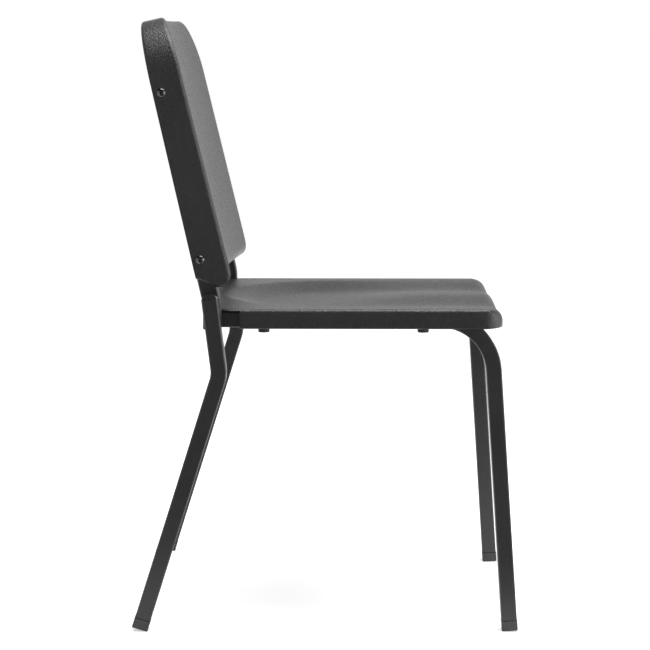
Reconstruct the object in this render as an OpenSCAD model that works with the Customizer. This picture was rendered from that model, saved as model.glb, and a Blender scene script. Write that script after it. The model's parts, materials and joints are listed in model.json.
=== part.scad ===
// Stacking choir chair: bent square steel tubes carry a moulded seat and a moulded back.
// The sitter faces +X, +Y is the sitter's left, and the glides stand on the plane z = 0.

/* [Tubes] */
// Outer width of every square tube
tube = 21.5; // [18:0.5:24]
// Wall of the square tubes
tube_wall = 1.5; // [1:0.1:2.5]
// Outer corner radius of the square tubes
tube_corner = 2.5; // [1.8:0.1:4]
// Thinning of a tube's wall in a bend
bend_thinning = 0.02; // [0.01:0.005:0.05]
// Width over the two side rails
frame_w = 400; // [360:1:440]
// Width of the flat cross tubes, measured front to back
cross_w = 25; // [20:1:35]
// Height of the flat cross tubes
cross_h = 12; // [10:0.5:14]

/* [Side frames] */
// Lean of the front legs from the vertical, foot forward
front_lean = 4.9; // [2:0.1:9]
// Sideways tilt of each side frame, foot outward
splay = 1.35; // [0.5:0.05:3]
// Radius of the large bend between rail and front leg, at the tube's centre
front_bend_r = 74; // [50:1:90]
// Distance of the bend's corner behind the front edge of the seat
corner_setback = 17.4; // [14:0.2:30]
// Distance of the rails' rear ends from the rear edge of the seat
rail_inset = 4.3; // [3:0.1:12]

/* [Rear legs] */
// Height of the knee below the rim of the seat
knee_drop = 87.5; // [70:0.5:110]
// Distance of the knee in front of the rear edge of the seat
knee_forward = 28; // [20:0.5:36]
// Lean of the rear leg below the knee, foot backward
rear_lean = 16.6; // [12:0.1:20]
// Lean of the rear leg above the knee, top backward
knee_lean = 8; // [5:0.1:12]
// Radius of the knee at the tube's centre
knee_r = 45; // [35:1:70]
// Height of the top of the rear leg's tube above the rim of the seat
leg_rise = 13.5; // [8:0.5:18]
// Height of the arched cap on the rear leg
cap_h = 8; // [6:0.5:10]

/* [Back] */
// Lean of the back from the vertical
back_lean = 13.6; // [8:0.1:18]
// Depth of the uprights' tube, measured front to back
upright_d = 24; // [20:0.5:26]
// Height of the upright's bend above its foot
upright_bend_h = 33.4; // [30:0.2:45]
// Radius of the upright's bend at the tube's centre
upright_bend_r = 60; // [40:1:90]
// Length of the uprights above the upper back screws
upright_over = 13; // [12.5:0.5:14]
// Height of the top of the back shell above the upright's bend
back_top = 389.5; // [388:0.5:420]
// Height of the lower edge of the back's front face above the upright's bend
back_foot = 20; // [16:0.5:26]
// Rise of the wing's lower edge from front to rear
wing_rake = 17; // [12:0.2:22]
// Depth in front of the uprights' rear faces at which the wing's lower edge starts to rise
wing_start = 25; // [23:0.5:27]
// Radius of the wings' lower corners, seen from the front
wing_corner = 6; // [5:0.5:8]
// Rounding of the wings' upper rear corners
wing_round = 4; // [2:0.5:8]
// Depth of the wings in front of the uprights' rear faces, at the foot
wing_depth_foot = 46; // [40:0.5:52]
// Depth of the wings in front of the uprights' rear faces, at the top
wing_depth_top = 40; // [36:0.5:48]
// Reach of the wings behind the uprights' rear faces
wing_lip = 1; // [0.5:0.1:3]
// Depth of the hollow in the back's face
back_dish = 4; // [2:0.5:12]
// Set-back of the back's face at the middle of its width
back_sag = 14; // [6:0.5:16]
// Radius of the back's top corners, seen from the front
back_top_corner = 84; // [60:1:85]
// Radius of the back's lower corners, seen from the front
back_foot_corner = 14; // [14:1:40]
// Radius of the edge along the wings and the top of the back
back_edge_r = 8; // [6:0.5:12]
// Radius of the edge along the foot of the back
back_foot_r = 12; // [8:0.5:13]
// Height of the lower back screws above the upright's bend
screw_low = 61.7; // [55:0.5:90]
// Height of the upper back screws above the upright's bend
screw_high = 290; // [240:1:291]
// Distance of the back screws in front of the uprights' rear faces
screw_set = 10.5; // [8:0.5:13]

/* [Seat] */
// Depth of the seat from its rear edge to its front edge
seat_d = 411; // [390:1:430]
// Height of the seat's rim above the floor, at mid depth
seat_h = 442.5; // [420:0.5:480]
// Slope of the seat, down towards the back
seat_slope = 0.92; // [0:0.05:3]
// Depth of the hollow in the rear of the seat
seat_dish = 12; // [6:0.5:13]
// Depth of the two thigh channels
thigh_dish = 7; // [3:0.5:8]
// Radius of the seat's front corners, seen from above
seat_front_corner = 20; // [19:1:26]
// Length of the seat's rear corners, measured front to back
seat_rear_corner = 40; // [36:1:44]
// Width of the seat's rear corners, measured sideways
seat_rear_sweep = 53; // [45:1:70]
// Radius along the sides and the rear of the seat's top
seat_edge_r = 5.5; // [4.5:0.5:7]
// Radius along the front of the seat's top
seat_front_r = 17.5; // [12:0.5:19]
// Thickness of the seat over the rails
rim_wall = 3.3; // [3.3:0.1:5]
// Reach of the seat's skirt below the rails
skirt_lip = 0.9; // [0.5:0.1:3]
// Rise of the skirt's lower edge at the front of the seat
front_rise = 1.5; // [0:0.5:6]
// Distance of the notches' front ends from the rear edge of the seat
notch_end = 52.5; // [46:0.5:60]
// Depth of the notches' upper ends below the rim of the seat
notch_drop = 2; // [1.8:0.1:3]

/* [Mouldings] */
// Wall of the seat and back mouldings
shell_wall = 3; // [2.4:0.1:4]
// Gap between the rails and the seat's skirt
skirt_gap = 0.5; // [0.4:0.1:2]

/* [Glides, plugs and bumpers] */
// Outer width of the square floor glides
glide_w = 22.4; // [21:0.1:27]
// Height of a glide below its tube
glide_h = 15; // [10:0.5:20]
// Height of the groove between glide and tube
groove_h = 0.8; // [0.5:0.1:1.5]
// Depth of the groove between glide and tube
groove_d = 1; // [0.5:0.1:1.6]
// Rounding of a glide's lower edges
glide_edge_r = 1.5; // [1:0.1:2.5]
// Height trimmed off a glide where it meets the floor
land_cut = 0.5; // [0.3:0.05:0.8]
// Thickness of a plug's head
plug_head = 2.5; // [1.5:0.1:4]
// Length of a plug inside its tube
plug_len = 18; // [10:1:30]
// Length of the plugs inside the uprights' upper ends
top_plug_len = 6.5; // [4:0.5:7]
// Diameter of the stack bumpers
bumper_d = 15.5; // [12:0.5:18]
// Height of the stack bumpers below the rails
bumper_h = 7.2; // [4:0.2:12]
// Diameter of a bumper's stem
bumper_stem_d = 6; // [4:0.5:8]
// Distance of the rear bumpers from the rear edge of the seat
bumper_rear = 85; // [80:1:130]
// Distance of the front bumpers from the rear edge of the seat
bumper_front = 302; // [210:1:310]

/* [Fasteners] */
// Diameter of the back screws' domed heads
head_d = 12.5; // [10:0.5:15]
// Height of the back screws' domed heads
head_h = 3.4; // [2.5:0.1:5]
// Diameter of the back screws' shanks
shank_d = 5.8; // [4.5:0.1:6]
// Length of the back screws under the head
shank_len = 16; // [12:0.5:17.5]
// Diameter of the threaded inserts in the uprights
insert_d = 9; // [7.5:0.1:10]
// Length of the threaded inserts
insert_len = 13; // [8:0.5:16]
// Diameter of the seat screws' shanks
seat_screw_d = 4.8; // [4:0.1:6]
// Length of the seat screws under the head
seat_screw_len = 16; // [15:0.1:18]
// Diameter of the seat screws' heads
seat_head_d = 9.5; // [8:0.1:12]
// Height of the seat screws' heads
seat_head_h = 3; // [2:0.1:4]
// Diameter of the bosses under the seat
boss_d = 13; // [11:0.5:16]
// Distance of the seat screws from the chair's centre line
seat_screw_y = 150; // [120:1:162]
// Distance of the rear cross tube's centre from the rear edge of the seat
cross_rear = 52; // [48:0.5:70]
// Distance of the front cross tube's centre from the rear edge of the seat
cross_front = 280; // [250:1:290]

/* [Clearances] */
// Clearance between parts that touch or nest
fit_gap = 0.3; // [0.3:0.05:0.4]

/* [Hidden] */

// An overrun for every cut
over = tube;

// Planes of the three tubes that stand side by side at the rear of each side
rail_y = (frame_w - tube) / 2;
upright_y = (frame_w + tube) / 2;
leg_y = upright_y + tube;
bore = tube - 2 * tube_wall;

// Levels in the sloping deck: zero is the rim of the seat
rail_top = -(rim_wall + fit_gap);
rail_bottom = rail_top - tube;
skirt_h = skirt_lip - rail_bottom;
seat_half_w = frame_w / 2 + skirt_gap + shell_wall;
corner_x = seat_d - corner_setback;
rail_start = plug_head + rail_inset;

// The front leg leaves the deck at this angle, and this is the turn of its bend
deck_lean = front_lean - seat_slope;
front_turn = 90 - deck_lean;
front_tangent = front_bend_r * tan(front_turn / 2);

// Height of the front leg's centre line: start at the bend's corner and drop along the leg
corner_height = seat_h + (corner_x - seat_d / 2) * sin(seat_slope)
    + (rail_bottom + tube / 2 * (cos(splay) - sin(splay))) * cos(seat_slope);
leg_drop = cos(deck_lean) * cos(splay) * cos(seat_slope) - sin(deck_lean) * sin(seat_slope);
front_sole = glide_w / 2 * (sin(front_lean) + sin(splay)) - land_cut;
front_leg_len = (corner_height - front_sole) / leg_drop;

// The rear leg: its sole centre stands behind the knee
rear_sole = glide_w / 2 * sin(rear_lean) - land_cut;
knee_h = seat_h - knee_drop;
rear_leg_len = (knee_h - rear_sole) / cos(rear_lean);
leg_upper = (knee_drop + leg_rise) / cos(knee_lean);
knee_turn = rear_lean + knee_lean;

// The upright: its foot is level with the rail's lower face
upright_foot = seat_h - (seat_d / 2 - rail_inset) * sin(seat_slope) + rail_bottom * cos(seat_slope);
upright_x = upright_d / 2 + rail_inset;
bend_z = upright_foot + upright_bend_h - upright_d / 2 * tan(back_lean / 2);
upright_len = screw_high + upright_over;

// Half width of the back shell
back_half_w = upright_y + tube / 2 + fit_gap + shell_wall;

// The chair is centred front to back between the front glides' toes and the back's rear top corner
toe_x = corner_x + front_leg_len * sin(front_lean) + glide_w / 2 * cos(front_lean);
heel_x = knee_forward - rear_leg_len * sin(rear_lean) - glide_w / 2 * cos(rear_lean);
crown_x = rail_inset - wing_lip * cos(back_lean) - (back_top - wing_round) * sin(back_lean);
mid_x = (toe_x + min(heel_x, crown_x)) / 2;

// Number of facets on round parts
fine = 48;

// A quarter of a full turn
quarter = 90;

// Colours
steel_black = [0.09, 0.09, 0.095];
moulding_black = [0.13, 0.13, 0.135];
plastic_black = [0.07, 0.07, 0.07];
screw_black = [0.05, 0.05, 0.055];

// Shares of the seat's depth and half width that place its hollows
dish_centre_share = 0.47;
dish_length_share = 0.425;
dish_width_share = 0.82;
dish_floor_share = 0.6;
blend_shares = [0.3, 0.82];
thigh_place_share = 0.47;
thigh_width_share = 0.43;
thigh_front_share = 1.35;
thigh_fade_shares = [0.85, 1];

// Rings between the centre of a moulded face and its rim, as shares of the rim's size
face_shares = [0.2, 0.4, 0.57, 0.71, 0.82, 0.91];
under_shares = [0.93, 0.8, 0.64, 0.44, 0.22];

// Steps along the stretches of a moulding's outline
edge_steps = 6;
side_steps = 10;
corner_steps = 6;
crown_steps = 9;
round_steps = 4;
lip_steps = 2;

// Shares that size small features: the skirt's bead, a plug's rounded head and a screw's socket
bead_share = 0.25;
plug_round_share = 0.8;
socket_share = 0.7;

// A smooth step from 0 at a to 1 at b
function ease(a, b, t) = let (u = max(0, min(1, (t - a) / (b - a)))) u * u * (3 - 2 * u);

// A smooth hump of height 1 at c that reaches 0 at a distance w
function hump(c, w, t) = abs(t - c) < w ? pow(cos(90 * (t - c) / w), 2) : 0;

// A half outline is completed by its mirror image, without the points on the centre line
function mirrored(half) = concat(half, [for (i = [len(half) - 2 : -1 : 1]) [half[i][0], -half[i][1]]]);

// Steps along an elliptical corner with its centre, half axes and start angle, turning 90 degrees
function corner(c, ax, ay, start, turn, steps = corner_steps) =
    [for (i = [1 : steps]) let (a = start + turn * i / steps) c + [ax * cos(a), ay * sin(a)]];

function along(a, b, steps) = [for (i = [1 : steps]) a + (b - a) * i / steps];

// A closed skin over a list of rings, with a single point at either end
module skin(first, rings, last) {
    n = len(rings[0]);
    m = len(rings);
    points = concat([first], [for (r = rings) each r], [last]);
    bands = [for (j = [0 : m - 2], i = [0 : n - 1])
        let (a = 1 + j * n + i, b = 1 + j * n + (i + 1) % n)
        each [[a, b, a + n], [b, b + n, a + n]]];
    fan_in = [for (i = [0 : n - 1]) [0, 1 + (i + 1) % n, 1 + i]];
    fan_out = [for (i = [0 : n - 1])
        [m * n + 1, 1 + (m - 1) * n + i, 1 + (m - 1) * n + (i + 1) % n]];
    polyhedron(points, concat(fan_in, bands, fan_out), convexity = 8);
}

// Depth of the seat's surface below its rim, with x from the rear edge
function seat_depth(x, y) =
    let (centre = dish_centre_share * seat_d,
         across = abs(y) / (dish_width_share * seat_half_w),
         back = max(0, centre - x) / (dish_length_share * seat_d),
         hollow = 1 - ease(dish_floor_share, 1, norm([back, across])),
         front = ease(blend_shares[0] * seat_d, blend_shares[1] * seat_d, x),
         thigh = hump(thigh_place_share * seat_half_w, thigh_width_share * seat_half_w, abs(y)),
         ends = thigh_fade_shares * seat_d,
         fade = 1 - (1 - thigh_front_share) * ease(ends[0], ends[1], x))
    (1 - front) * seat_dish * hollow + front * thigh_dish * thigh * fade;

// Outline of the seat, drawn in along its sides and rear and, by another amount, along its front
function seat_outline(side, front) =
    let (half_w = seat_half_w - side,
         fr = seat_front_corner,
         rx = seat_rear_corner,
         ry = seat_rear_sweep)
    mirrored(concat(
        [[seat_d - front, 0]],
        along([seat_d - front, 0], [seat_d - front, seat_half_w - fr], edge_steps),
        corner([seat_d - fr, seat_half_w - fr], fr - front, fr - side, 0, quarter),
        along([seat_d - fr, half_w], [rx, half_w], side_steps),
        corner([rx, seat_half_w - ry], rx - side, ry - side, quarter, quarter),
        along([side, seat_half_w - ry], [side, 0], edge_steps)));

// The centre of the seat's rings
seat_centre = [seat_d / 2, 0];

function shrunk(outline, centre, share) = [for (p = outline) centre + (p - centre) * share];

function on_seat(outline) = [for (p = outline) [p[0], p[1], -seat_depth(p[0], p[1])]];

function under_seat(outline) = [for (p = outline)
    [p[0], p[1], -max(rim_wall, seat_depth(p[0], p[1]) + shell_wall)]];

// A ring along the seat's rounded edge: level at a = 0, upright at a = 90, a skin's depth inside
function seat_edge_ring(a, skin_in) =
    let (side = skin_in + (seat_edge_r - skin_in) * (1 - sin(a)),
         front = skin_in + (seat_front_r - skin_in) * (1 - sin(a)))
    [for (p = seat_outline(side, front))
        let (forward = ease(seat_d - seat_front_corner, seat_d - front, p[0]),
             r = seat_edge_r + (seat_front_r - seat_edge_r) * forward,
             z = r + (seat_depth(p[0], p[1]) - r + skin_in) * cos(a))
        [p[0], p[1], -max(z, skin_in > 0 ? rim_wall : 0)]];

function skirt_edge(outline, up) = [for (p = outline)
    [p[0], p[1], up - skirt_h + front_rise * ease(seat_d - seat_front_corner, seat_d, p[0])]];

module seat_skin() {
    bead = bead_share * shell_wall;
    angles = [for (i = [0 : round_steps]) quarter * i / round_steps];
    rim = seat_outline(seat_edge_r, seat_front_r);
    top = [for (s = face_shares) on_seat(shrunk(rim, seat_centre, s))];
    edge = [for (a = angles) seat_edge_ring(a, 0)];
    skirt = [skirt_edge(seat_outline(0, 0), bead), skirt_edge(seat_outline(bead, bead), 0),
             skirt_edge(seat_outline(shell_wall, shell_wall), 0)];
    inner = [for (a = angles) seat_edge_ring(quarter - a, shell_wall)];
    under = [for (s = under_shares) under_seat(shrunk(rim, seat_centre, s))];
    middle = seat_depth(seat_centre[0], 0);
    skin([seat_centre[0], 0, -middle], concat(top, edge, skirt, inner, under),
         [seat_centre[0], 0, -middle - shell_wall]);
}

// The deck holds the seat, the rails and what hangs from them
module deck()
    translate([seat_d / 2, 0, seat_h])
        rotate([0, -seat_slope, 0])
            translate([-seat_d / 2, 0, 0])
                children();

// A side frame's own plane tilts about the outer lower edge of its rail
module side_plane() deck()
    translate([0, frame_w / 2, rail_bottom])
        rotate([splay, 0, 0])
            translate([0, -tube / 2, tube / 2])
                children();

// The plane of the leaning part of the uprights: x runs forward, z runs up the upright's rear face
module back_plane() translate([rail_inset, 0, bend_z]) rotate([0, -back_lean, 0]) children();

module both_sides() {
    children();
    mirror([0, 1, 0]) children();
}

module centred() translate([-mid_x, 0, 0]) children();

module rounded_square(w, d, r) {
    square([w - 2 * r, d], center = true);
    square([w, d - 2 * r], center = true);
    for (x = [-1, 1], y = [-1, 1])
        translate([x * (w / 2 - r), y * (d / 2 - r)])
            circle(r, $fn = fine);
}

module tube_section(w, d, slim = 0) difference() {
    rounded_square(w - 2 * slim, d - 2 * slim, tube_corner - slim);
    rounded_square(w - 2 * (tube_wall - slim), d - 2 * (tube_wall - slim), tube_corner - tube_wall + slim);
}

// A straight tube along +X
module straight_tube(length, depth = tube) rotate([90, 0, 90]) linear_extrude(height = length)
    tube_section(tube, depth);

// A tube that runs along +X, turns down and runs on; its wall thins a little in the bend
module bent_tube(first, turn, radius, second, depth = tube) {
    lap = 2 * bend_thinning * radius / tube;
    straight_tube(first, depth);
    translate([first, 0, -radius])
        rotate([90, 0, 0])
            rotate([0, 0, 90 - turn - lap])
                rotate_extrude(angle = turn + 2 * lap, $fn = fine)
                    translate([radius, 0])
                        tube_section(depth, tube, bend_thinning);
    translate([first + radius * sin(turn), 0, -radius * (1 - cos(turn))])
        rotate([0, turn, 0])
            straight_tube(second, depth);
}

// A cut that runs up through a tube's lower wall, or in through its outer wall
module round_cut(d, length) cylinder(d = d, h = length, $fn = fine);

module seat_shell() color(moulding_black) deck() difference() {
    union() {
        seat_skin();
        for (x = [cross_rear, cross_front], y = [-seat_screw_y, seat_screw_y])
            translate([x, y, rail_bottom + cross_h + fit_gap])
                cylinder(d = boss_d, h = -rail_bottom - cross_h - fit_gap - seat_depth(x, y) - shell_wall / 2,
                         $fn = fine);
    }
    for (x = [cross_rear, cross_front], y = [-seat_screw_y, seat_screw_y])
        translate([x, y, rail_bottom])
            round_cut(seat_screw_d + 2 * fit_gap, seat_screw_len + 2 * fit_gap);
    both_sides() {
        // A way for the rail, the open notch beside it and the place of the upright
        translate([-over, rail_y - tube / 2 - skirt_gap, -skirt_h - over])
            cube([over + notch_end, over + tube, over + skirt_h - rim_wall]);
        translate([-over, rail_y + tube / 2 - notch_drop, -skirt_h - over])
            cube([over + notch_end, over, over + skirt_h - notch_drop]);
        translate([-over, rail_y + tube / 2 - fit_gap, -skirt_h - over])
            cube([over + rail_inset + upright_d + fit_gap, over, 2 * over + skirt_h]);
    }
}

// Place of the back's face in front of the uprights' rear faces, at a height t
rim_half_w = back_half_w - back_edge_r;
rim_mid = (back_top - back_edge_r + back_foot + back_foot_r) / 2;
rim_half_h = (back_top - back_edge_r - back_foot - back_foot_r) / 2;
function across(y) = max(0, 1 - pow(y / rim_half_w, 2));
function upward(t) = max(0, 1 - pow((t - rim_mid) / rim_half_h, 4));
function face(y, t) = wing_depth_foot + (wing_depth_top - wing_depth_foot) * t / back_top
    - across(y) * (back_sag + back_dish * upward(t));

// Outline of the back at an edge angle a, as points [t, y]; a runs from the wing to the rim
function back_outline(a, skin_in, foot, foot_corner, top) =
    let (side = skin_in + (back_edge_r - skin_in) * (1 - cos(a)),
         low = skin_in + (back_foot_r - skin_in) * (1 - cos(a)),
         fc = foot_corner,
         tc = back_top_corner,
         half_w = back_half_w)
    mirrored(concat(
        [[foot + low, 0]],
        along([foot + low, 0], [foot + low, half_w - fc], edge_steps),
        corner([foot + fc, half_w - fc], fc - low, fc - side, 2 * quarter, -quarter),
        along([foot + fc, half_w - side], [top - tc, half_w - side], side_steps),
        corner([top - tc, half_w - tc], tc - side, tc - side, quarter, -quarter, crown_steps),
        along([top - side, half_w - tc], [top - side, 0], edge_steps)));

function rim_outline(a, skin_in) = back_outline(a, skin_in, back_foot, back_foot_corner, back_top);

// The edge radius at a height t: large along the foot, smaller on the wings
function edge_radius(t) = back_foot_r
    + (back_edge_r - back_foot_r) * ease(back_foot, back_foot + back_foot_corner, t);

function back_edge_ring(a, skin_in) = [for (p = rim_outline(a, skin_in))
    let (r = edge_radius(p[0] - back_foot_r * (1 - cos(a)) / 2))
    [face(p[1], p[0]) - r + (r - skin_in) * sin(a), p[1], p[0]]];

// A ring of the wings at a depth n, where the lower edge has started to rise
function wing_ring(n, skin_in, top) =
    let (foot = back_foot + wing_rake * (wing_start - n) / (wing_start + wing_lip))
    [for (p = back_outline(0, skin_in, foot, wing_corner, top))
        [min(n, face(p[1], p[0]) - back_foot_r - shell_wall), p[1], p[0]]];

// The rings of a wing from its start to its rear edge, whose upper corner is rounded
function wing_rings(skin_in) = concat(
    [wing_ring(wing_start, skin_in, back_top)],
    [for (i = [0 : lip_steps])
        let (a = quarter * i / lip_steps)
        wing_ring(wing_round * (1 - sin(a)) - wing_lip, skin_in, back_top - wing_round * (1 - cos(a)))]);

function reversed(list) = [for (i = [len(list) - 1 : -1 : 0]) list[i]];

function back_face_ring(outline, share, skin_in) = [for (p = shrunk(outline, [rim_mid, 0], share))
    [face(p[1], p[0]) - skin_in, p[1], p[0]]];

module back_skin() {
    angles = [for (i = [0 : round_steps]) quarter * i / round_steps];
    rim = rim_outline(quarter, 0);
    middle = face(0, rim_mid);
    outside = concat(
        [for (s = face_shares) back_face_ring(rim, s, 0)],
        [for (a = angles) back_edge_ring(quarter - a, 0)],
        wing_rings(0));
    inside = concat(
        reversed(wing_rings(shell_wall)),
        [for (a = angles) back_edge_ring(a, shell_wall)],
        [for (s = under_shares) back_face_ring(rim, s, shell_wall)]);
    skin([middle, 0, rim_mid], concat(outside, inside), [middle - shell_wall, 0, rim_mid]);
}

module back_shell() color(moulding_black) back_plane() difference() {
    back_skin();
    both_sides() {
        translate([-over, upright_y - tube / 2 - fit_gap, -over])
            cube([over + upright_d + fit_gap, tube + 2 * fit_gap,
                  over + back_foot + wing_rake + wing_corner]);
        for (t = [screw_low, screw_high])
            translate([screw_set, upright_y, t])
                rotate([-90, 0, 0])
                    round_cut(shank_d + 2 * fit_gap, tube);
    }
}

module side_frame() color(steel_black) side_plane() difference() {
    translate([rail_start, 0, 0])
        bent_tube(corner_x - front_tangent - rail_start, front_turn, front_bend_r,
                  front_leg_len - front_tangent - glide_h);
    for (x = [bumper_rear, bumper_front])
        translate([x, 0, -tube])
            round_cut(bumper_stem_d + 2 * fit_gap, tube);
}

// The knee of a rear leg at the origin of its own plane
module knee_plane() translate([knee_forward, leg_y, knee_h]) children();

module rear_leg() color(steel_black) knee_plane() {
    half_turn = knee_r * tan(knee_turn / 2);
    rotate([0, 90 - knee_lean, 0])
        translate([-leg_upper, 0, 0])
            bent_tube(leg_upper - half_turn, knee_turn, knee_r, rear_leg_len - half_turn - glide_h);
}

// The bend of an upright at the origin of its own plane, foot first
module upright() color(steel_black) {
    half_turn = upright_bend_r * tan(back_lean / 2);
    difference() {
        translate([upright_x, upright_y, upright_foot + plug_head])
            rotate([0, -90, 0])
                mirror([0, 0, 1])
                    bent_tube(upright_bend_h - plug_head - half_turn, back_lean, upright_bend_r,
                              upright_len - half_turn - plug_head, upright_d);
        back_plane()
            for (t = [screw_low, screw_high])
                translate([screw_set, upright_y, t])
                    rotate([-90, 0, 0])
                        round_cut(insert_d + 2 * fit_gap, tube);
    }
}

// A flat cross tube between the inner faces of the rails
module cross_tube(x) color(steel_black) deck() difference() {
    length = frame_w - 2 * tube - 2 * fit_gap - 2 * tube * sin(splay) / 2;
    translate([x, 0, rail_bottom + cross_h / 2])
        rotate([90, 0, 0])
            translate([0, 0, -length / 2])
                linear_extrude(height = length)
                    tube_section(cross_w, cross_h);
    for (y = [-seat_screw_y, seat_screw_y])
        translate([x, y, rail_bottom - over])
            round_cut(seat_screw_d + 2 * fit_gap, over + tube);
}

// A square plug along +X: its head lies at x = 0 and its stem runs into the tube
module plug_stem(length, depth = tube) rotate([90, 0, 90]) linear_extrude(height = length)
    rounded_square(bore - 2 * fit_gap, depth - tube + bore - 2 * fit_gap, tube_corner - tube_wall);

module flat_plug(depth = tube, length = plug_len) {
    translate([-plug_head, 0, 0])
        intersection() {
            rotate([90, 0, 90])
                linear_extrude(height = plug_head)
                    rounded_square(tube, depth, tube_corner);
            translate([depth / 2, 0, 0])
                rotate([90, 0, 0])
                    translate([0, 0, -tube / 2])
                        linear_extrude(height = tube)
                            rounded_square(depth, depth, plug_head * plug_round_share);
        }
    plug_stem(length, depth);
}

// A glide along -X below a tube that ends at x = 0: groove, head with rounded lower edges, stem
module glide() {
    head = glide_h - groove_h;
    translate([-glide_h, 0, 0])
        intersection() {
            rotate([90, 0, 90])
                linear_extrude(height = head)
                    rounded_square(glide_w, glide_w, tube_corner);
            glide_profile(head);
            rotate([90, 0, 0])
                glide_profile(head);
        }
    translate([-groove_h, 0, 0])
        rotate([90, 0, 90])
            linear_extrude(height = groove_h)
                rounded_square(tube - 2 * groove_d, tube - 2 * groove_d, tube_corner);
    plug_stem(plug_len);
}

// The side view of a glide's head, with its two lower corners rounded
module glide_profile(head) rotate([90, 0, 0]) linear_extrude(height = 2 * glide_w, center = true) {
    translate([glide_edge_r, -glide_w / 2])
        square([head - glide_edge_r, glide_w]);
    translate([0, glide_edge_r - glide_w / 2])
        square([head, glide_w - 2 * glide_edge_r]);
    for (y = [-1, 1])
        translate([glide_edge_r, y * (glide_w / 2 - glide_edge_r)])
            circle(glide_edge_r, $fn = fine);
}

// What stands on the floor is trimmed flat along it
module floor_cut() difference() {
    children();
    translate([-seat_d, -frame_w, -over])
        cube([3 * seat_d, 2 * frame_w, over]);
}

module front_glide() color(plastic_black) floor_cut() side_plane()
    translate([corner_x, 0, 0])
        rotate([0, 90 - deck_lean, 0])
            translate([front_leg_len - glide_h, 0, 0])
                mirror([1, 0, 0])
                    glide();

module rear_glide() color(plastic_black) floor_cut() knee_plane()
    rotate([0, 90 + rear_lean, 0])
        translate([rear_leg_len - glide_h, 0, 0])
            mirror([1, 0, 0])
                glide();

// The side view of a cap's head: an arch that springs just above the tube's end
module arch_profile() {
    r = (pow(tube / 2, 2) + pow(cap_h - plug_head / 2, 2)) / (2 * (cap_h - plug_head / 2));
    rotate([90, 0, 0])
        translate([0, 0, -tube])
            linear_extrude(height = 2 * tube)
                intersection() {
                    translate([0, -tube / 2])
                        square([cap_h, tube]);
                    translate([cap_h - r, 0])
                        circle(r, $fn = fine);
                }
}

module rear_leg_cap() color(plastic_black) knee_plane()
    rotate([0, -90 - knee_lean, 0])
        translate([leg_upper, 0, 0]) {
            intersection() {
                rotate([90, 0, 90])
                    linear_extrude(height = cap_h)
                        rounded_square(tube, tube, tube_corner);
                arch_profile();
            }
            mirror([1, 0, 0])
                plug_stem(plug_len);
        }

module rail_plug() color(plastic_black) side_plane() translate([rail_start, 0, 0]) flat_plug();

module upright_foot_plug() color(plastic_black)
    translate([upright_x, upright_y, upright_foot + plug_head])
        rotate([0, -90, 0])
            flat_plug(upright_d);

module upright_top_plug() color(plastic_black) back_plane()
    translate([upright_d / 2, upright_y, upright_len + upright_d / 2 * tan(back_lean / 2) - plug_head])
        rotate([0, 90, 0])
            flat_plug(upright_d, top_plug_len);

// A domed screw with a hexagonal socket, head outward along +Z
module dome_screw(hd, hh, sd, length) {
    ball = (pow(hd / 2, 2) + pow(hh, 2)) / (2 * hh);
    difference() {
        rotate_extrude($fn = fine)
            intersection() {
                square([hd / 2, hh]);
                translate([0, hh - ball])
                    circle(ball, $fn = 2 * fine);
            }
        translate([0, 0, hh / 2])
            cylinder(d = sd * socket_share, h = hh, $fn = 6);
    }
    translate([0, 0, -length])
        cylinder(d = sd, h = length, $fn = fine);
}

module back_screw_set() color(screw_black) back_plane()
    for (t = [screw_low, screw_high])
        translate([screw_set, back_half_w, t])
            rotate([-90, 0, 0])
                dome_screw(head_d, head_h, shank_d, shank_len);

module insert_set() color("silver") back_plane()
    for (t = [screw_low, screw_high])
        translate([screw_set, upright_y + tube / 2, t])
            rotate([90, 0, 0])
                difference() {
                    cylinder(d = insert_d, h = insert_len, $fn = fine);
                    translate([0, 0, -over])
                        round_cut(shank_d + 2 * fit_gap, 2 * over);
                }

module bumper(x) color(plastic_black) side_plane() translate([x, 0, -tube / 2]) {
    rotate([180, 0, 0])
        rotate_extrude($fn = fine)
            intersection() {
                square([bumper_d / 2, bumper_h]);
                union() {
                    square([bumper_d / 2, bumper_h - groove_d]);
                    square([bumper_d / 2 - groove_d, bumper_h]);
                    translate([bumper_d / 2 - groove_d, bumper_h - groove_d])
                        circle(groove_d, $fn = fine);
                }
            }
    cylinder(d = bumper_stem_d, h = tube_wall + plug_head, $fn = fine);
}

module seat_screw_set() color(screw_black) deck()
    for (x = [cross_rear, cross_front], y = [-seat_screw_y, seat_screw_y])
        translate([x, y, rail_bottom])
            rotate([180, 0, 0])
                dome_screw(seat_head_d, seat_head_h, seat_screw_d, seat_screw_len);

module left() centred() children();

module right() centred() mirror([0, 1, 0]) children();

module pair() centred() both_sides() children();

centred() seat_shell();
centred() back_shell();
left() side_frame();  // side_frame_left
right() side_frame();  // side_frame_right
left() rear_leg();  // rear_leg_left
right() rear_leg();  // rear_leg_right
left() upright();  // back_upright_left
right() upright();  // back_upright_right
centred() cross_tube(cross_front);  // front_cross_tube
centred() cross_tube(cross_rear);  // rear_cross_tube
left() front_glide();  // front_glide_left
right() front_glide();  // front_glide_right
left() rear_glide();  // rear_glide_left
right() rear_glide();  // rear_glide_right
left() rear_leg_cap();  // rear_leg_cap_left
right() rear_leg_cap();  // rear_leg_cap_right
left() rail_plug();  // rail_plug_left
right() rail_plug();  // rail_plug_right
pair() upright_foot_plug();  // upright_foot_plugs
pair() upright_top_plug();  // upright_top_plugs
left() back_screw_set();  // back_screws_left
right() back_screw_set();  // back_screws_right
pair() insert_set();  // back_screw_inserts
pair() bumper(bumper_front);  // front_stack_bumpers
pair() bumper(bumper_rear);  // rear_stack_bumpers
centred() seat_screw_set();  // seat_screws
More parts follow.
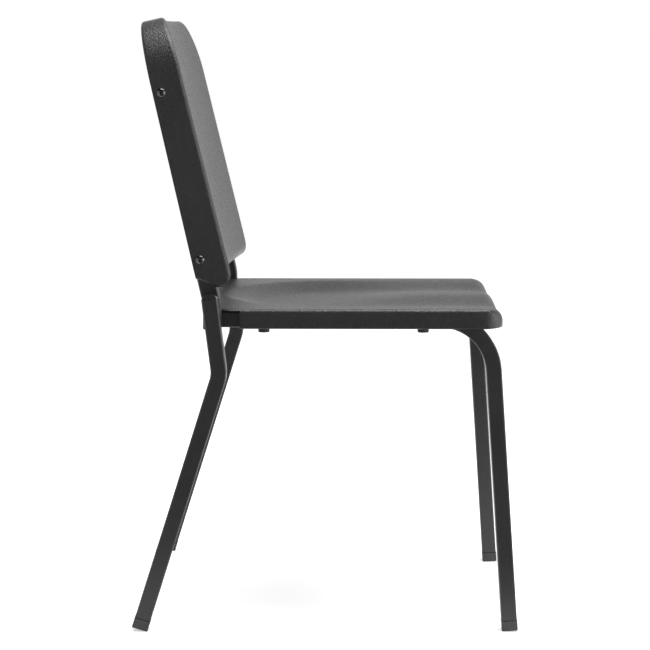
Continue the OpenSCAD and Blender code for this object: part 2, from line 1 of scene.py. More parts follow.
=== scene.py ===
"""The looks of a stacking choir chair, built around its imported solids."""

import json
import math

import bpy
from mathutils import Matrix, Vector


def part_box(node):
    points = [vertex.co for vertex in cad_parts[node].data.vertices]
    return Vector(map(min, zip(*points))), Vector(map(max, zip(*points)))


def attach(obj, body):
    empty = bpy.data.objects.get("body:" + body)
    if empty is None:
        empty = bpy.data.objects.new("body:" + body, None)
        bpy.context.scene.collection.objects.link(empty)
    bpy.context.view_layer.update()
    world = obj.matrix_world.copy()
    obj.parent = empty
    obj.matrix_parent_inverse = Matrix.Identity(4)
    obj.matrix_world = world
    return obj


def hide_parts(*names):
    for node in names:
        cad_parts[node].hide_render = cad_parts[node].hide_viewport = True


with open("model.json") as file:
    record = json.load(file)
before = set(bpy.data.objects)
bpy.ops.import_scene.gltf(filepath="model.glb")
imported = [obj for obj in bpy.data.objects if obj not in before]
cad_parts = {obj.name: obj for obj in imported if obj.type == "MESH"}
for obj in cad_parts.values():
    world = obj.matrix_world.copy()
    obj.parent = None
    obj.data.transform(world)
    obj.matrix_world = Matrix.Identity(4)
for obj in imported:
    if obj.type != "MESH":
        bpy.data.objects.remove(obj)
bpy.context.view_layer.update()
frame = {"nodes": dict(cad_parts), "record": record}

MM = 0.001

# Sizes in millimetres and angles, as in the part's source
TUBE = 21.5
UPRIGHT_D = 24
UPRIGHT_BEND_H = 33.4
FRAME_W = 400
RAIL_INSET = 4.3
CROSS_H = 12
CROSS_REAR = 52
CROSS_FRONT = 280
BACK_LEAN = math.radians(13.6)
SEAT_D = 411
SEAT_H = 442.5
SEAT_SLOPE = math.radians(0.92)
SEAT_SCREW_Y = 150
SEAT_SCREW_D = 4.8
SEAT_SCREW_LEN = 16
BOSS_D = 13
RIM_WALL = 3.3
SHELL_WALL = 3
FIT_GAP = 0.3
SKIRT_GAP = 0.5

RAIL_BOTTOM = -(RIM_WALL + FIT_GAP + TUBE)
RAIL_Y = (FRAME_W - TUBE) / 2
UPRIGHT_Y = (FRAME_W + TUBE) / 2
SEAT_HALF_W = FRAME_W / 2 + SKIRT_GAP + SHELL_WALL
BACK_HALF_W = UPRIGHT_Y + TUBE / 2 + FIT_GAP + SHELL_WALL

# Steps of the drawn curves, which are finer than in the solids
FACE_RINGS = 36
UNDER_RINGS = 24
EDGE_STEPS = 12
INNER_EDGE_STEPS = 10

# A piece is shaded smooth across edges that turn by less than this
SHARP_ANGLE = math.radians(32)


def ease(a, b, t):
    """A smooth step from 0 at a to 1 at b."""
    u = max(0.0, min(1.0, (t - a) / (b - a)))
    return u * u * (3 - 2 * u)


def hump(c, w, t):
    """A smooth hump of height 1 at c that reaches 0 at a distance w."""
    if abs(t - c) >= w:
        return 0.0
    return math.cos(math.pi / 2 * (t - c) / w) ** 2


def along(a, b, steps):
    """Points after a up to b in equal steps."""
    shares = [i / steps for i in range(1, steps + 1)]
    return [(a[0] + (b[0] - a[0]) * s, a[1] + (b[1] - a[1]) * s) for s in shares]


def corner(c, ax, ay, start, turn, steps):
    """Points along an elliptical corner, with its angles in degrees."""
    points = []
    for i in range(1, steps + 1):
        a = math.radians(start + turn * i / steps)
        points.append((c[0] + ax * math.cos(a), c[1] + ay * math.sin(a)))
    return points


def mirrored(half):
    """A half outline and its mirror image, without the points on the centre line twice."""
    return half + [(u, -v) for u, v in half[-2:0:-1]]


def shrunk(outline, centre, share):
    """An outline scaled about a centre."""
    cu, cv = centre
    return [(cu + (u - cu) * share, cv + (v - cv) * share) for u, v in outline]


def skin(first, rings, last):
    """Points and faces of a closed skin over a list of rings, with a single point at either end."""
    n = len(rings[0])
    points = [first] + [p for ring in rings for p in ring] + [last]
    faces = [(0, 1 + i, 1 + (i + 1) % n) for i in range(n)]
    for j in range(len(rings) - 1):
        for i in range(n):
            a = 1 + j * n + i
            b = 1 + j * n + (i + 1) % n
            faces.append((a, a + n, b + n, b))
    end = len(points) - 1
    base = 1 + (len(rings) - 1) * n
    faces += [(end, base + (i + 1) % n, base + i) for i in range(n)]
    return points, faces


# Planes that carry the mouldings


def deck_point(x, y, z):
    """A point of the sloping deck, before the chair is centred; x runs from the seat's rear edge."""
    c, s = math.cos(SEAT_SLOPE), math.sin(SEAT_SLOPE)
    u = x - SEAT_D / 2
    return Vector((SEAT_D / 2 + u * c - z * s, y, SEAT_H + u * s + z * c))


# The frame's origin lies this far in front of the seat's rear edge
low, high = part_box("rear_cross_tube")
MID_X = deck_point(CROSS_REAR, 0, RAIL_BOTTOM + CROSS_H / 2).x - (low.x + high.x) / 2 / MM


def on_deck(x, y, z):
    """A point of the deck in the frame."""
    return (deck_point(x, y, z) - Vector((MID_X, 0, 0))) * MM


# Heights of the rim over the rails' rear ends, of the uprights' feet and of their bend
RAIL_END_H = SEAT_H - (SEAT_D / 2 - RAIL_INSET) * math.sin(SEAT_SLOPE)
UPRIGHT_FOOT = RAIL_END_H + RAIL_BOTTOM * math.cos(SEAT_SLOPE)
BEND_Z = UPRIGHT_FOOT + UPRIGHT_BEND_H - UPRIGHT_D / 2 * math.tan(BACK_LEAN / 2)


def on_back(n, y, t):
    """A point of the back: n runs forward from the uprights' rear faces, t runs up them."""
    c, s = math.cos(BACK_LEAN), math.sin(BACK_LEAN)
    return Vector((n * c - t * s + RAIL_INSET - MID_X, y, BEND_Z + n * s + t * c)) * MM


# Materials

# Most values of a noise lie between these two
NOISE_MIDDLE = (0.3, 0.7)


class Nodes:
    """A short way to build a node material, with its textures placed by the object."""

    def __init__(self, name):
        self.material = bpy.data.materials.new(name)
        self.material.use_nodes = True
        self.tree = self.material.node_tree
        self.shader = self.tree.nodes["Principled BSDF"]
        self.place = self.tree.nodes.new("ShaderNodeTexCoord").outputs["Object"]

    def set(self, **values):
        """Sets sockets of the shader."""
        for name, value in values.items():
            self.shader.inputs[name.replace("_", " ")].default_value = value

    def link(self, a, b):
        """Links an output to an input."""
        self.tree.links.new(a, b)

    def noise(self, scale, detail=2, roughness=0.5):
        """A noise between 0 and 1; scale counts its features in a metre."""
        node = self.tree.nodes.new("ShaderNodeTexNoise")
        self.link(self.place, node.inputs["Vector"])
        node.inputs["Scale"].default_value = scale
        node.inputs["Detail"].default_value = detail
        node.inputs["Roughness"].default_value = roughness
        return node.outputs["Fac"]

    def spread(self, value, low, high, middle):
        """The middle part of a noise, spread from low to high."""
        node = self.tree.nodes.new("ShaderNodeMapRange")
        self.link(value, node.inputs["Value"])
        node.inputs["From Min"].default_value = middle[0]
        node.inputs["From Max"].default_value = middle[1]
        node.inputs["To Min"].default_value = low
        node.inputs["To Max"].default_value = high
        return node.outputs["Result"]

    def tint(self, value, dark, light):
        """A base colour between two colours."""
        node = self.tree.nodes.new("ShaderNodeMix")
        node.data_type = "RGBA"
        self.link(self.spread(value, 0, 1, NOISE_MIDDLE), node.inputs["Factor"])
        node.inputs["A"].default_value = (*dark, 1)
        node.inputs["B"].default_value = (*light, 1)
        self.link(node.outputs["Result"], self.shader.inputs["Base Color"])

    def rough(self, value, low, high, middle=NOISE_MIDDLE):
        """A roughness between two values."""
        self.link(self.spread(value, low, high, middle), self.shader.inputs["Roughness"])

    def bump(self, value, height, strength, below=None):
        """A bump of a height in metres, on top of another one below it."""
        node = self.tree.nodes.new("ShaderNodeBump")
        self.link(value, node.inputs["Height"])
        node.inputs["Strength"].default_value = strength
        node.inputs["Distance"].default_value = height
        if below is not None:
            self.link(below, node.inputs["Normal"])
        self.link(node.outputs["Normal"], self.shader.inputs["Normal"])
        return node.outputs["Normal"]


def moulding_material():
    """Black polypropylene with a fine pebble grain."""
    m = Nodes("moulding")
    m.set(IOR=1.49)
    clouds = m.noise(scale=9, detail=4, roughness=0.6)
    m.tint(clouds, dark=(0.013, 0.013, 0.0135), light=(0.019, 0.019, 0.02))
    m.rough(m.noise(scale=420, detail=3, roughness=0.6), low=0.3, high=0.5, middle=(0.35, 0.65))
    grain = m.bump(m.noise(scale=430, detail=3, roughness=0.6), height=0.0009, strength=0.9)
    m.bump(m.noise(scale=60), height=0.0002, strength=0.25, below=grain)
    return m.material


def coat_material():
    """Satin black powder coat."""
    m = Nodes("frame")
    m.set(IOR=1.5)
    m.tint(m.noise(scale=14, detail=3), dark=(0.013, 0.013, 0.0135), light=(0.018, 0.018, 0.0185))
    m.rough(m.noise(scale=260), low=0.36, high=0.46)
    m.bump(m.noise(scale=650), height=0.00012, strength=0.6)
    return m.material


def trim_material():
    """Smooth black plastic of the glides, caps and plugs."""
    m = Nodes("trim")
    m.set(IOR=1.49)
    m.tint(m.noise(scale=30, detail=3), dark=(0.011, 0.011, 0.011), light=(0.017, 0.017, 0.017))
    m.rough(m.noise(scale=220), low=0.2, high=0.28)
    m.bump(m.noise(scale=900), height=0.00005, strength=0.5)
    return m.material


def rubber_material():
    """Dull black rubber of the stack bumpers."""
    m = Nodes("pad")
    m.set(IOR=1.45)
    m.tint(m.noise(scale=60, detail=3), dark=(0.014, 0.014, 0.014), light=(0.022, 0.022, 0.022))
    m.rough(m.noise(scale=300), low=0.6, high=0.75)
    m.bump(m.noise(scale=1200), height=0.0001, strength=0.5)
    return m.material


def screw_material():
    """Glossy black finish of the screws."""
    m = Nodes("screw")
    m.set(IOR=1.45, Coat_Weight=0.8, Coat_Roughness=0.05)
    m.tint(m.noise(scale=80), dark=(0.006, 0.006, 0.0065), light=(0.01, 0.01, 0.0105))
    m.rough(m.noise(scale=500), low=0.1, high=0.16)
    m.bump(m.noise(scale=1500), height=0.00004, strength=0.4)
    return m.material


def zinc_material():
    """Zinc-plated steel of the threaded inserts."""
    m = Nodes("insert")
    m.set(Metallic=1.0)
    m.tint(m.noise(scale=120, detail=3), dark=(0.5, 0.5, 0.48), light=(0.66, 0.66, 0.63))
    m.rough(m.noise(scale=700), low=0.25, high=0.4)
    m.bump(m.noise(scale=1600), height=0.00005, strength=0.5)
    return m.material


MATERIALS = {
    "moulding": moulding_material(),
    "frame": coat_material(),
    "trim": trim_material(),
    "pad": rubber_material(),
    "screw": screw_material(),
    "insert": zinc_material(),
}


def dress_nodes():
    """Gives every CAD node the material of its slot in the record."""
    slots = {s["node"]: s["material_slot"] for s in frame["record"]["subparts"]}
    for name, obj in frame["nodes"].items():
        obj.data.materials.clear()
        obj.data.materials.append(MATERIALS[slots[name]])


CAP_EDGE_R = 1.2
CAP_EDGE_STEPS = 3
CAP_EDGE_ANGLE = math.radians(40)


def round_caps():
    """Rounds the sharp edges of the leg caps by a modifier, which leaves their meshes alone."""
    for name in ("rear_leg_cap_left", "rear_leg_cap_right"):
        bevel = frame["nodes"][name].modifiers.new("edges", "BEVEL")
        bevel.width = CAP_EDGE_R * MM
        bevel.segments = CAP_EDGE_STEPS
        bevel.limit_method = "ANGLE"
        bevel.angle_limit = CAP_EDGE_ANGLE


# Pieces


def new_object(name, points, faces):
    """A mesh object in the scene."""
    mesh = bpy.data.meshes.new(name)
    mesh.from_pydata([tuple(p) for p in points], [], faces)
    mesh.validate()
    obj = bpy.data.objects.new(name, mesh)
    bpy.context.scene.collection.objects.link(obj)
    return obj


def box_cutter(name, low, high, place):
    """A box between two corners, placed by a plane."""
    xs, ys, zs = zip(low, high)
    points = [place(x, y, z) for x in xs for y in ys for z in zs]
    faces = [(0, 1, 3, 2), (4, 6, 7, 5), (0, 4, 5, 1), (2, 3, 7, 6), (0, 2, 6, 4), (1, 5, 7, 3)]
    return new_object(name, points, faces)


def carve(obj, cutters):
    """Cuts boxes out of a piece and keeps the result as its mesh."""
    for cutter in cutters:
        change = obj.modifiers.new("change", "BOOLEAN")
        change.operation = "DIFFERENCE"
        change.solver = "EXACT"
        change.object = cutter
    bpy.context.view_layer.update()
    evaluated = obj.evaluated_get(bpy.context.evaluated_depsgraph_get())
    mesh = bpy.data.meshes.new_from_object(evaluated)
    obj.modifiers.clear()
    obj.data = mesh
    for cutter in cutters:
        bpy.data.objects.remove(cutter)


def finish_piece(obj, slot, replaced=()):
    obj.data.materials.clear()
    obj.data.materials.append(MATERIALS[slot])
    for polygon in obj.data.polygons:
        polygon.use_smooth = True
    obj.data.set_sharp_from_angle(angle=SHARP_ANGLE)
    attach(obj, "root")
    if replaced:
        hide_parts(*replaced)


# The seat

SEAT_DISH = 12
THIGH_DISH = 7
SEAT_REAR_CORNER = 40
SEAT_REAR_SWEEP = 53
SEAT_EDGE_R = 5.5
SEAT_FRONT_R = 17.5
NOTCH_END = 52.5
NOTCH_DROP = 2

# Read again from the photo's shading, so they differ from the part's source or are missing there
SKIRT_LIP = 1.7
LIP_R = 2
FRONT_RISE = 0.9
SEAT_FRONT_CORNER = 26
SEAT_RIM_CORNER = 20

# Shares of the seat's depth: the dish, its blend into the thigh channels and their last stretch
DISH_CENTRE_SHARE = 0.47
DISH_LENGTH_SHARE = 0.425
BLEND_SHARES = (0.3, 0.82)
THIGH_FADE_SHARES = (0.85, 1)

# Shares of half the seat's width
DISH_WIDTH_SHARE = 0.82
THIGH_PLACE_SHARE = 0.47
THIGH_WIDTH_SHARE = 0.43

# The flat middle of the dish, the crispness of its edge, and the channels' depth at the front edge
DISH_FLOOR_SHARE = 0.6
DISH_CREASE_SHARE = 0.5
THIGH_FRONT_SHARE = 1.35

SEAT_FRONT_STEPS = 30
SEAT_CORNER_STEPS = 14
SEAT_SIDE_STEPS = 60
SEAT_REAR_STEPS = 24
LIP_STEPS = 4
BOSS_STEPS = 32

SKIRT_H = SKIRT_LIP - RAIL_BOTTOM


def seat_depth(x, y):
    """Depth of the seat's surface below its rim."""
    across = abs(y) / (DISH_WIDTH_SHARE * SEAT_HALF_W)
    back = max(0, DISH_CENTRE_SHARE * SEAT_D - x) / (DISH_LENGTH_SHARE * SEAT_D)
    climb = (math.hypot(back, across) - DISH_FLOOR_SHARE) / (1 - DISH_FLOOR_SHARE)
    climb = max(0, min(1, climb))
    dish = 1 - ease(0, 1, climb) * (1 - DISH_CREASE_SHARE) - climb**2 * DISH_CREASE_SHARE
    front = ease(BLEND_SHARES[0] * SEAT_D, BLEND_SHARES[1] * SEAT_D, x)
    thigh = hump(THIGH_PLACE_SHARE * SEAT_HALF_W, THIGH_WIDTH_SHARE * SEAT_HALF_W, abs(y))
    out = ease(THIGH_FADE_SHARES[0] * SEAT_D, THIGH_FADE_SHARES[1] * SEAT_D, x)
    fade = 1 + (THIGH_FRONT_SHARE - 1) * out
    return (1 - front) * SEAT_DISH * dish + front * THIGH_DISH * thigh * fade


def seat_outline(side, front):
    """Outline of the seat, drawn in along its sides and rear and, by another amount, at its front.

    The front corners are larger at the skirt than at the rim.
    """
    half_w = SEAT_HALF_W - side
    fr = SEAT_FRONT_CORNER + (SEAT_RIM_CORNER - SEAT_FRONT_CORNER) * front / SEAT_FRONT_R
    rx = SEAT_REAR_CORNER
    ry = SEAT_REAR_SWEEP
    return mirrored(
        [(SEAT_D - front, 0)]
        + along((SEAT_D - front, 0), (SEAT_D - front, SEAT_HALF_W - fr), SEAT_FRONT_STEPS)
        + corner((SEAT_D - fr, SEAT_HALF_W - fr), fr - front, fr - side, 0, 90, SEAT_CORNER_STEPS)
        + along((SEAT_D - fr, half_w), (rx, half_w), SEAT_SIDE_STEPS)
        + corner((rx, SEAT_HALF_W - ry), rx - side, ry - side, 90, 90, SEAT_CORNER_STEPS)
        + along((side, SEAT_HALF_W - ry), (side, 0), SEAT_REAR_STEPS)
    )


def seat_edge_ring(a, skin_in):
    """A ring of the seat's rounded edge: level at 0 degrees, upright at 90."""
    a = math.radians(a)
    side = skin_in + (SEAT_EDGE_R - skin_in) * (1 - math.sin(a))
    front = skin_in + (SEAT_FRONT_R - skin_in) * (1 - math.sin(a))
    ring = []
    for x, y in seat_outline(side, front):
        forward = ease(SEAT_D - SEAT_FRONT_CORNER, SEAT_D - front, x)
        r = SEAT_EDGE_R + (SEAT_FRONT_R - SEAT_EDGE_R) * forward
        depth = r + (seat_depth(x, y) - r + skin_in) * math.cos(a)
        ring.append((x, y, -max(depth, RIM_WALL if skin_in else 0)))
    return ring


def skirt_ring(inset, up):
    """A ring at the skirt's lower edge, which rises a little at the front."""
    return [
        (x, y, up - SKIRT_H + FRONT_RISE * ease(SEAT_D - SEAT_FRONT_CORNER, SEAT_D, x))
        for x, y in seat_outline(inset, inset)
    ]


def lip_rings():
    """The rings of the rounded lip under the skirt."""
    rings = []
    for i in range(LIP_STEPS + 1):
        a = math.pi / 2 * i / LIP_STEPS
        rings.append(skirt_ring(LIP_R * (1 - math.cos(a)), LIP_R * (1 - math.sin(a))))
    return rings


def seat_cutters():
    """A way for each rail, the open notch beside it and the place of the upright."""
    over = TUBE
    under = -SKIRT_H - over
    cutters = []
    for side in (-1, 1):
        for inner, front, top in (
            (RAIL_Y - TUBE / 2 - SKIRT_GAP, NOTCH_END, -RIM_WALL),
            (RAIL_Y + TUBE / 2 - NOTCH_DROP, NOTCH_END, -NOTCH_DROP),
            (RAIL_Y + TUBE / 2 - FIT_GAP, RAIL_INSET + UPRIGHT_D + FIT_GAP, over),
        ):
            y0, y1 = sorted((side * inner, side * (SEAT_HALF_W + over)))
            cutters.append(box_cutter("notch", (-over, y0, under), (front, y1, top), on_deck))
    return cutters


def make_seat():
    """The seat with its dished top, rounded rim, skirt, and the recess under it."""
    centre = (SEAT_D / 2, 0)
    middle = seat_depth(*centre)
    rim = seat_outline(SEAT_EDGE_R, SEAT_FRONT_R)

    def top(share):
        return [(x, y, -seat_depth(x, y)) for x, y in shrunk(rim, centre, share)]

    def under(share):
        return [
            (x, y, -max(RIM_WALL, seat_depth(x, y) + SHELL_WALL)) for x, y in shrunk(rim, centre, share)
        ]

    rings = [top(i / FACE_RINGS) for i in range(1, FACE_RINGS)]
    rings += [seat_edge_ring(90 * i / EDGE_STEPS, 0) for i in range(EDGE_STEPS + 1)]
    rings += lip_rings()
    rings.append(skirt_ring(SHELL_WALL, 0))
    rings += [
        seat_edge_ring(90 * (1 - i / INNER_EDGE_STEPS), SHELL_WALL) for i in range(INNER_EDGE_STEPS + 1)
    ]
    rings += [under(1 - i / UNDER_RINGS) for i in range(1, UNDER_RINGS)]
    points, faces = skin((*centre, -middle), rings, (*centre, -middle - SHELL_WALL))
    seat = new_object("seat", [on_deck(*p) for p in points], faces)
    carve(seat, seat_cutters())
    finish_piece(seat, "moulding", ["seat_shell"])


def make_bosses():
    """The four screw bosses under the seat, each with its hole."""
    foot = RAIL_BOTTOM + CROSS_H + FIT_GAP
    hole_top = RAIL_BOTTOM + SEAT_SCREW_LEN + 2 * FIT_GAP
    hole_r = SEAT_SCREW_D / 2 + FIT_GAP
    for i, x in enumerate((CROSS_REAR, CROSS_FRONT)):
        for j, y in enumerate((-SEAT_SCREW_Y, SEAT_SCREW_Y)):
            top = -seat_depth(x, y) - SHELL_WALL / 2
            profile = ((hole_r, hole_top), (hole_r, foot), (BOSS_D / 2, foot), (BOSS_D / 2, top))
            rings = [[(*p, z) for p in corner((x, y), r, r, 0, 360, BOSS_STEPS)] for r, z in profile]
            points, faces = skin((x, y, hole_top), rings, (x, y, top))
            boss = new_object(f"seat_boss_{i}{j}", [on_deck(*p) for p in points], faces)
            finish_piece(boss, "moulding")


# The back

BACK_FOOT = 20
BACK_TOP_CORNER = 84
WING_LIP = 1
WING_RAKE = 17
WING_START = 25
WING_CORNER = 6
WING_ROUND = 4

# Read again from the photo's shading, so they differ from the part's source or are missing there
WING_DEPTH_FOOT = 47.2
WING_DEPTH_TOP = 41
BACK_DISH = 1.5
BACK_SAG = 16.5
BACK_FOOT_CORNER = 6
BACK_RIM_CORNER = 12
BACK_EDGE_R = 6
BACK_FOOT_R = 17
BACK_FOOT_BLEND = 22

# Finer rounds reach higher than the solids' facets, so the top is a little lower than there
BACK_TOP = 389.05

BACK_FOOT_STEPS = 30
BACK_FOOT_CORNER_STEPS = 10
BACK_BLEND_STEPS = 8
BACK_SIDE_STEPS = 46
BACK_TOP_CORNER_STEPS = 32
BACK_TOP_STEPS = 24
WING_STEPS = 4
WING_ROUND_STEPS = 6

RIM_HALF_W = BACK_HALF_W - BACK_EDGE_R
RIM_MID = (BACK_TOP - BACK_EDGE_R + BACK_FOOT + BACK_FOOT_R) / 2
RIM_HALF_H = (BACK_TOP - BACK_EDGE_R - BACK_FOOT - BACK_FOOT_R) / 2


def back_face(y, t):
    """Place of the back's face in front of the uprights' rear faces."""
    across = max(0, 1 - (y / RIM_HALF_W) ** 2)
    upward = max(0, 1 - ((t - RIM_MID) / RIM_HALF_H) ** 4)
    wing = WING_DEPTH_FOOT + (WING_DEPTH_TOP - WING_DEPTH_FOOT) * t / BACK_TOP
    return wing - across * (BACK_SAG + BACK_DISH * upward)


def back_outline(a, skin_in, foot=BACK_FOOT, foot_corner=BACK_FOOT_CORNER, top=BACK_TOP):
    """Outline of the back where its edge has turned through an angle a, as points (t, y)."""
    turned = 1 - math.cos(math.radians(a))
    side = skin_in + (BACK_EDGE_R - skin_in) * turned
    lower = skin_in + (BACK_FOOT_R - skin_in) * turned
    tc = BACK_TOP_CORNER
    fc = foot_corner - skin_in + (BACK_RIM_CORNER - foot_corner + skin_in) * turned
    half_w = BACK_HALF_W
    start = foot + lower
    blend = start + fc + BACK_FOOT_BLEND
    return mirrored(
        [(start, 0)]
        + along((start, 0), (start, half_w - side - fc), BACK_FOOT_STEPS)
        + corner((start + fc, half_w - side - fc), fc, fc, 180, -90, BACK_FOOT_CORNER_STEPS)
        + along((start + fc, half_w - side), (blend, half_w - side), BACK_BLEND_STEPS)
        + along((blend, half_w - side), (top - tc, half_w - side), BACK_SIDE_STEPS)
        + corner((top - tc, half_w - tc), tc - side, tc - side, 90, -90, BACK_TOP_CORNER_STEPS)
        + along((top - side, half_w - tc), (top - side, 0), BACK_TOP_STEPS)
    )


def back_edge_ring(a, skin_in):
    """A ring of the back's rounded edge, whose radius is large along the foot."""
    outline = back_outline(a, skin_in)
    ring = []
    for t, y in outline:
        down = max(0, 1 - (t - outline[0][0]) / BACK_FOOT_BLEND)
        r = BACK_EDGE_R + (BACK_FOOT_R - BACK_EDGE_R) * (1 - math.sqrt(1 - down * down))
        ring.append((back_face(y, t) - r + (r - skin_in) * math.sin(math.radians(a)), y, t))
    return ring


def wing_ring(n, skin_in, top):
    """A ring of the wings at a depth n, where the lower edge has started to rise."""
    foot = BACK_FOOT + WING_RAKE * (WING_START - n) / (WING_START + WING_LIP)
    return [
        (min(n, back_face(y, t) - BACK_FOOT_R - SHELL_WALL), y, t)
        for t, y in back_outline(0, skin_in, foot, WING_CORNER, top)
    ]


def wing_rings(skin_in):
    """The rings of a wing up to its rear edge, whose upper corner is rounded."""
    rings = []
    for i in range(WING_STEPS):
        n = WING_START + (WING_ROUND - WING_LIP - WING_START) * i / WING_STEPS
        rings.append(wing_ring(n, skin_in, BACK_TOP))
    for i in range(WING_ROUND_STEPS + 1):
        a = math.pi / 2 * i / WING_ROUND_STEPS
        n = WING_ROUND * (1 - math.sin(a)) - WING_LIP
        rings.append(wing_ring(n, skin_in, BACK_TOP - WING_ROUND * (1 - math.cos(a))))
    return rings


def back_cutters():
    """A slot in either wing's foot for the upright."""
    over = TUBE
    top = BACK_FOOT + WING_RAKE + WING_CORNER
    inner = UPRIGHT_Y - TUBE / 2 - FIT_GAP
    outer = UPRIGHT_Y + TUBE / 2 + FIT_GAP
    cutters = []
    for side in (-1, 1):
        y0, y1 = sorted((side * inner, side * outer))
        far = (UPRIGHT_D + FIT_GAP, y1, top)
        cutters.append(box_cutter("upright_way", (-over, y0, -over), far, on_back))
    return cutters


def make_back():
    """The back: a hollow face, wings that wrap the uprights, and an open rear."""
    rim = back_outline(90, 0)
    middle = back_face(0, RIM_MID)

    def front(share, skin_in):
        return [(back_face(y, t) - skin_in, y, t) for t, y in shrunk(rim, (RIM_MID, 0), share)]

    rings = [front(i / FACE_RINGS, 0) for i in range(1, FACE_RINGS)]
    rings += [back_edge_ring(90 * (1 - i / EDGE_STEPS), 0) for i in range(EDGE_STEPS + 1)]
    rings += wing_rings(0)
    rings += wing_rings(SHELL_WALL)[::-1]
    rings += [back_edge_ring(90 * i / INNER_EDGE_STEPS, SHELL_WALL) for i in range(INNER_EDGE_STEPS + 1)]
    rings += [front(1 - i / UNDER_RINGS, SHELL_WALL) for i in range(1, UNDER_RINGS)]
    points, faces = skin((middle, 0, RIM_MID), rings, (middle - SHELL_WALL, 0, RIM_MID))
    back = new_object("back", [on_back(*p) for p in points], faces)
    carve(back, back_cutters())
    finish_piece(back, "moulding", ["back_shell"])


# The studio

# The camera, fitted to the photo: its place in millimetres from the seat's rear edge, its turns in
# degrees, its lens and sensor in millimetres, and its reach in metres
CAMERA_AT = (188.117, -2972.943, 780.142)
CAMERA_YAW = 0.4
CAMERA_PITCH = 7.3893
CAMERA_ROLL = 0.9578
CAMERA_LENS = 114.13
CAMERA_SENSOR = 36
CAMERA_REACH = 200

# Lamps, in metres and watts
LAMP_TARGET = (0, 0, 0.5)
OVERHEAD_AT = (0.4, 0.1, 2.6)
OVERHEAD_SIZE = (1.7, 2.2)
OVERHEAD_POWER = 95
FRONT_AT = (2.9, -0.9, 0.9)
FRONT_SIZE = (1.6, 1.6)
FRONT_POWER = 38

# Brightness of the world. Its backdrop ends between two heights, given as sines of the angle above
# the horizon
AMBIENT = 0.6
STUDIO_GREY = 0.03
BACKDROP_TOP = (0.42, 0.55)

# The floor, whose glow for the camera makes it show white
FLOOR_REACH = 60
FLOOR_GREY = 0.9
FLOOR_ROUGHNESS = 0.9
FLOOR_GLOW = 0.47

# The card, in metres: it lies on the floor beside the chair, with a slanted near edge, and stands up
# at its far edge
FLAG_X = (-0.8, 0.85)
FLAG_NEAR = (-0.62, -0.22)
FLAG_FAR = -1.6
FLAG_LOW = 0.005
FLAG_TOP = 1.7
FLAG_GREY = 0.16


def make_camera():
    """The photograph's view: along +Y, a little from above."""
    data = bpy.data.cameras.new("camera")
    data.lens = CAMERA_LENS
    data.sensor_width = CAMERA_SENSOR
    data.clip_end = CAMERA_REACH
    camera = bpy.data.objects.new("camera", data)
    place = (Vector(CAMERA_AT) - Vector((MID_X, 0, 0))) * MM
    turn = (
        Matrix.Rotation(math.radians(CAMERA_YAW), 4, "Z")
        @ Matrix.Rotation(math.radians(90 - CAMERA_PITCH), 4, "X")
        @ Matrix.Rotation(math.radians(CAMERA_ROLL), 4, "Z")
    )
    camera.matrix_world = Matrix.Translation(place) @ turn
    bpy.context.scene.collection.objects.link(camera)
    bpy.context.scene.camera = camera


def area_light(name, place, size, power):
    """A soft lamp that points at the chair."""
    data = bpy.data.lights.new(name, "AREA")
    data.shape = "RECTANGLE"
    data.size = size[0]
    data.size_y = size[1]
    data.energy = power
    light = bpy.data.objects.new(name, data)
    light.location = place
    light.rotation_euler = (Vector(LAMP_TARGET) - Vector(place)).to_track_quat("-Z", "Y").to_euler()
    bpy.context.scene.collection.objects.link(light)


def float_mix(tree, share, a, b):
    """A value between a and b, by a share; each is a number or a socket."""
    node = tree.nodes.new("ShaderNodeMix")
    for name, value in (("Factor", share), ("A", a), ("B", b)):
        if isinstance(value, (int, float)):
            node.inputs[name].default_value = value
        else:
            tree.links.new(value, node.inputs[name])
    return node.outputs["Result"]


def ray_kinds(tree, *names):
    """1 for the kinds of ray named here, and 0 for the others."""
    path = tree.nodes.new("ShaderNodeLightPath")
    total = path.outputs[names[0]]
    for name in names[1:]:
        add = tree.nodes.new("ShaderNodeMath")
        add.operation = "MAXIMUM"
        tree.links.new(total, add.inputs[0])
        tree.links.new(path.outputs[name], add.inputs[1])
        total = add.outputs[0]
    return total


def backdrop_light(tree):
    """1 low down, where reflections meet the white backdrop, and less in the studio above it."""
    place = tree.nodes.new("ShaderNodeTexCoord")
    split = tree.nodes.new("ShaderNodeSeparateXYZ")
    tree.links.new(place.outputs["Generated"], split.inputs["Vector"])
    fall = tree.nodes.new("ShaderNodeMapRange")
    fall.interpolation_type = "SMOOTHSTEP"
    fall.inputs["From Min"].default_value = BACKDROP_TOP[0]
    fall.inputs["From Max"].default_value = BACKDROP_TOP[1]
    fall.inputs["To Min"].default_value = 1
    fall.inputs["To Max"].default_value = STUDIO_GREY
    tree.links.new(split.outputs["Z"], fall.inputs["Value"])
    return fall.outputs["Result"]


def make_world():
    """A white background for the camera, a backdrop in reflections and an even light."""
    world = bpy.data.worlds.new("studio")
    world.use_nodes = True
    bpy.context.scene.world = world
    tree = world.node_tree
    background = tree.nodes["Background"]
    background.inputs["Color"].default_value = (1, 1, 1, 1)
    glossy = ray_kinds(tree, "Is Glossy Ray")
    camera = ray_kinds(tree, "Is Camera Ray", "Is Transmission Ray")
    lit = float_mix(tree, glossy, AMBIENT, backdrop_light(tree))
    tree.links.new(float_mix(tree, camera, lit, 1), background.inputs["Strength"])


def stage_sheet(name, corners, faces):
    """A sheet that stages the chair, with a material of its own."""
    sheet = new_object(name, corners, faces)
    material = bpy.data.materials.new(name)
    material.use_nodes = True
    sheet.data.materials.append(material)
    return sheet


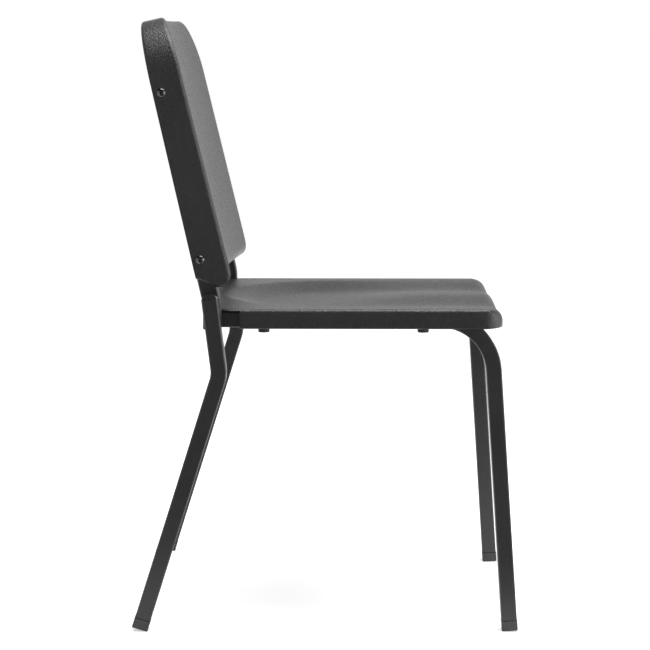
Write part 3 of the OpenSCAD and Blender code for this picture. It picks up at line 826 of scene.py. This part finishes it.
def make_floor():
    """A pale floor that shows white and keeps the chair's shadow."""
    r = FLOOR_REACH
    floor = stage_sheet("floor", [(-r, -r, 0), (r, -r, 0), (r, r, 0), (-r, r, 0)], [(0, 1, 2, 3)])
    tree = floor.active_material.node_tree
    shader = tree.nodes["Principled BSDF"]
    shader.inputs["Base Color"].default_value = (FLOOR_GREY, FLOOR_GREY, FLOOR_GREY, 1)
    shader.inputs["Roughness"].default_value = FLOOR_ROUGHNESS
    shader.inputs["Specular IOR Level"].default_value = 0.0
    shader.inputs["Emission Color"].default_value = (1, 1, 1, 1)
    glow = tree.nodes.new("ShaderNodeMapRange")
    glow.inputs["To Max"].default_value = FLOOR_GLOW
    seen = ray_kinds(tree, "Is Camera Ray", "Is Glossy Ray", "Is Transmission Ray")
    tree.links.new(seen, glow.inputs["Value"])
    tree.links.new(glow.outputs["Result"], shader.inputs["Emission Strength"])


def make_flag():
    """A grey card on the camera's side, seen only as a reflection in the chair's near side."""
    (a, b), far, low, top = FLAG_X, FLAG_FAR, FLAG_LOW, FLAG_TOP
    edge = [(a, FLAG_NEAR[0], low), (b, FLAG_NEAR[1], low)]
    corners = edge + [(b, far, low), (a, far, low), (b, far, top), (a, far, top)]
    flag = stage_sheet("flag", corners, [(0, 1, 2, 3), (3, 2, 4, 5)])
    shader = flag.active_material.node_tree.nodes["Principled BSDF"]
    shader.inputs["Base Color"].default_value = (0, 0, 0, 1)
    shader.inputs["Specular IOR Level"].default_value = 0.0
    shader.inputs["Emission Color"].default_value = (1, 1, 1, 1)
    shader.inputs["Emission Strength"].default_value = FLAG_GREY
    flag.visible_camera = False
    flag.visible_diffuse = False
    flag.visible_shadow = False


dress_nodes()
round_caps()
make_seat()
make_bosses()
make_back()
make_camera()
make_world()
make_floor()
make_flag()
area_light("overhead", OVERHEAD_AT, OVERHEAD_SIZE, OVERHEAD_POWER)
area_light("front", FRONT_AT, FRONT_SIZE, FRONT_POWER)
bpy.context.scene.view_settings.view_transform = "Standard"
